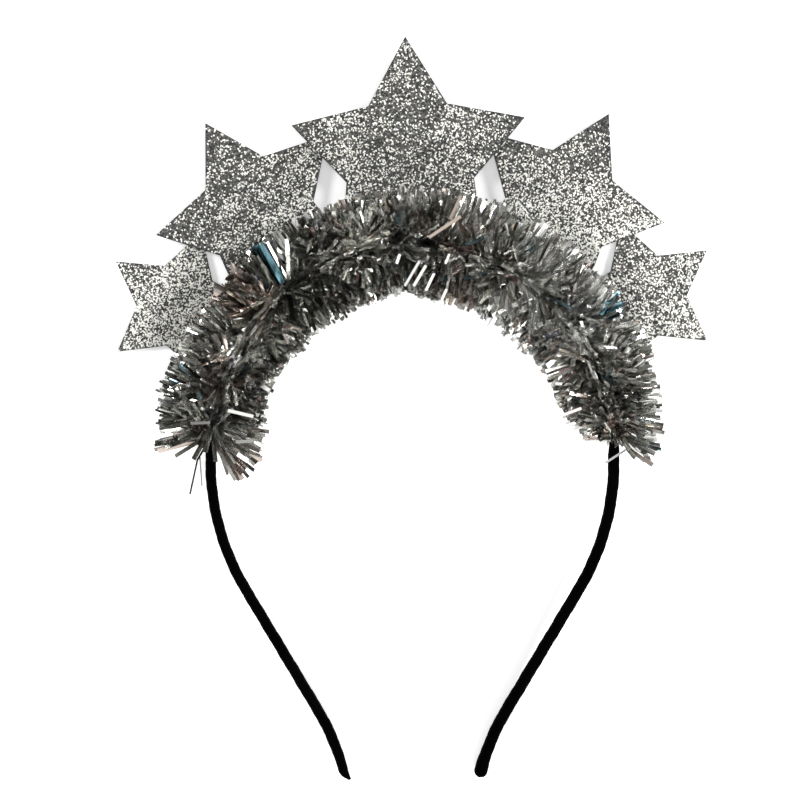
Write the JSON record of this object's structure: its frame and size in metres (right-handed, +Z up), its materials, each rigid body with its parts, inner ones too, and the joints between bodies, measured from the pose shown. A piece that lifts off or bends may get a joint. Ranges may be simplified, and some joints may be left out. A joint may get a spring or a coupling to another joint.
{
  "type": "star headband",
  "caption": "Party headband: a ribbon-wrapped band with shaggy silver tinsel round the front of its arch and a fan of flat glitter stars glued behind the tinsel.",
  "frame": {"origin": "middle of the whole object's footprint, on the surface that it lies on", "axes": "+X to the right and +Y from the band's tips towards its crown as seen from the front, +Z up out of the surface, the way the front looks"},
  "size_m": [0.1722, 0.215, 0.0296],
  "materials": {
    "ribbon": "black satin ribbon wound round a springy strip",
    "tinsel_foil": "strips of mirror-bright silver film with a little copper and blue",
    "glitter_foam": "foam sheet covered in coarse silver glitter"
  },
  "bodies": {
    "root": {"band": "ribbon", "tinsel_garland": "tinsel_foil", "star_centre": "glitter_foam", "star_inner_left": "glitter_foam", "star_inner_right": "glitter_foam", "star_outer_left": "glitter_foam", "star_outer_right": "glitter_foam"}
  },
  "joints": []
}
